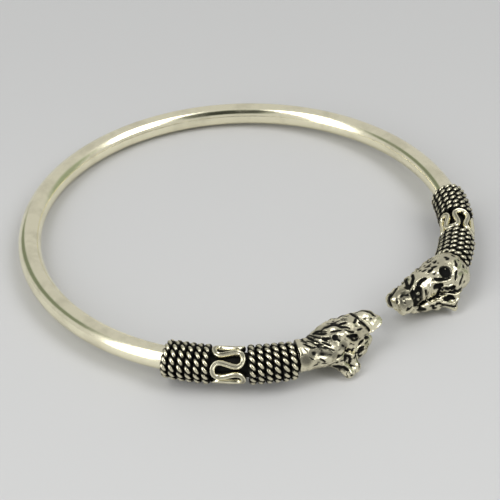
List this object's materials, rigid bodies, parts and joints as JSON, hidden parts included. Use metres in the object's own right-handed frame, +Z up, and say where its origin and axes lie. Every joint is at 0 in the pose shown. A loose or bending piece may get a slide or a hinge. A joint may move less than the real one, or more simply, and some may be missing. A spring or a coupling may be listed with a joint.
{
  "type": "open cuff bangle",
  "caption": "Open silver cuff bangle of round wire with rope-wrapped ends and facing cast beast heads, worn round the wrist.",
  "frame": {"origin": "middle of the bottom of the whole bangle as it lies on a table", "axes": "+Z up, away from the table; the opening between the heads faces -Y; +X to the right of one who looks along +Y"},
  "size_m": [0.0684, 0.068, 0.0069],
  "materials": {
    "polished_silver": "polished silver, lightly tarnished",
    "rope_silver": "twisted silver wire, blackened between the strands",
    "wire_silver": "polished silver wire",
    "cast_silver": "cast silver, blackened in the recesses and polished on the high places"
  },
  "bodies": {
    "root": {"band": "polished_silver", "left_back_wrap": "rope_silver", "left_wave_wire": "wire_silver", "left_front_wrap": "rope_silver", "left_head": "cast_silver", "right_back_wrap": "rope_silver", "right_wave_wire": "wire_silver", "right_front_wrap": "rope_silver", "right_head": "cast_silver"}
  },
  "joints": []
}
